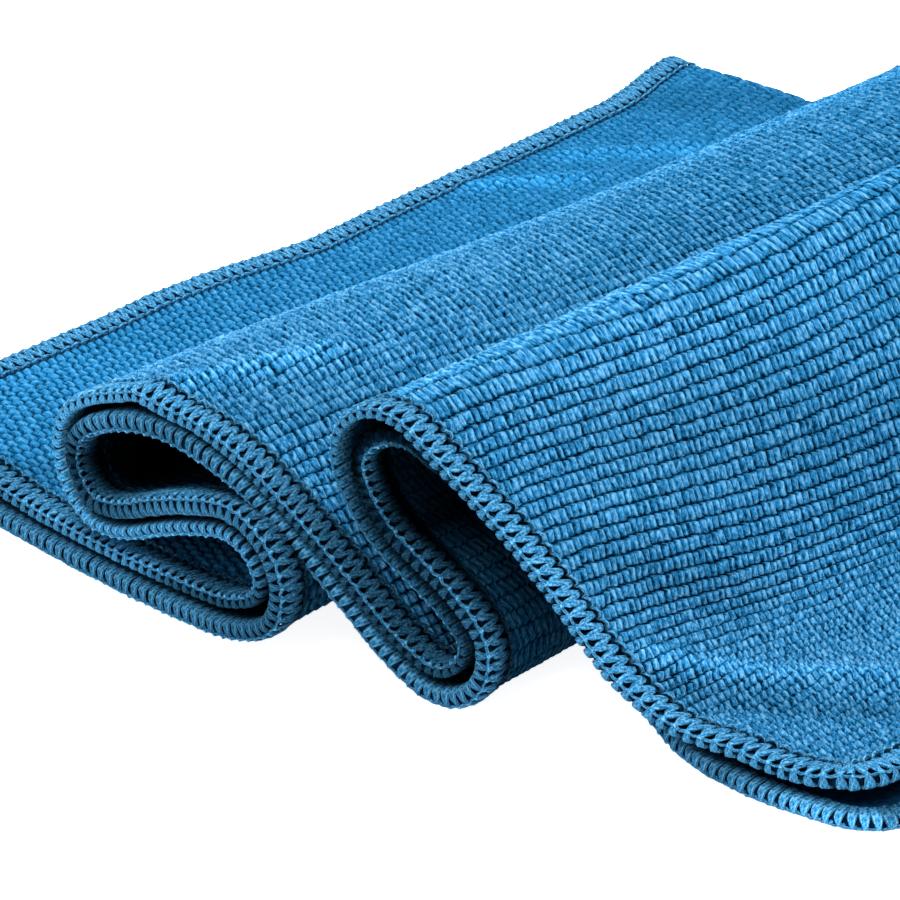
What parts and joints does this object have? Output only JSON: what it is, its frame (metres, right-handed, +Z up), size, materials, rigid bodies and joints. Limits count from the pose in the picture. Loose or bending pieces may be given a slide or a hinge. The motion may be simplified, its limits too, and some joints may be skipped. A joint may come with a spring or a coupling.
{
  "type": "microfibre cloth",
  "caption": "Knitted microfibre cloth with an overlocked edge, folded in half and pushed into two soft leaning folds, for wiping, drying and polishing.",
  "frame": {"origin": "on the surface the cloth lies on, under the middle of its laid outline", "axes": "+X along the folded front edge from the flat end to the draped end, +Y along the knitted ribs towards the plain back fold, +Z up"},
  "size_m": [0.1914, 0.2172, 0.0464],
  "materials": {
    "microfibre": "matte ribbed knit"
  },
  "bodies": {
    "root": {"cloth": "microfibre"}
  },
  "joints": []
}
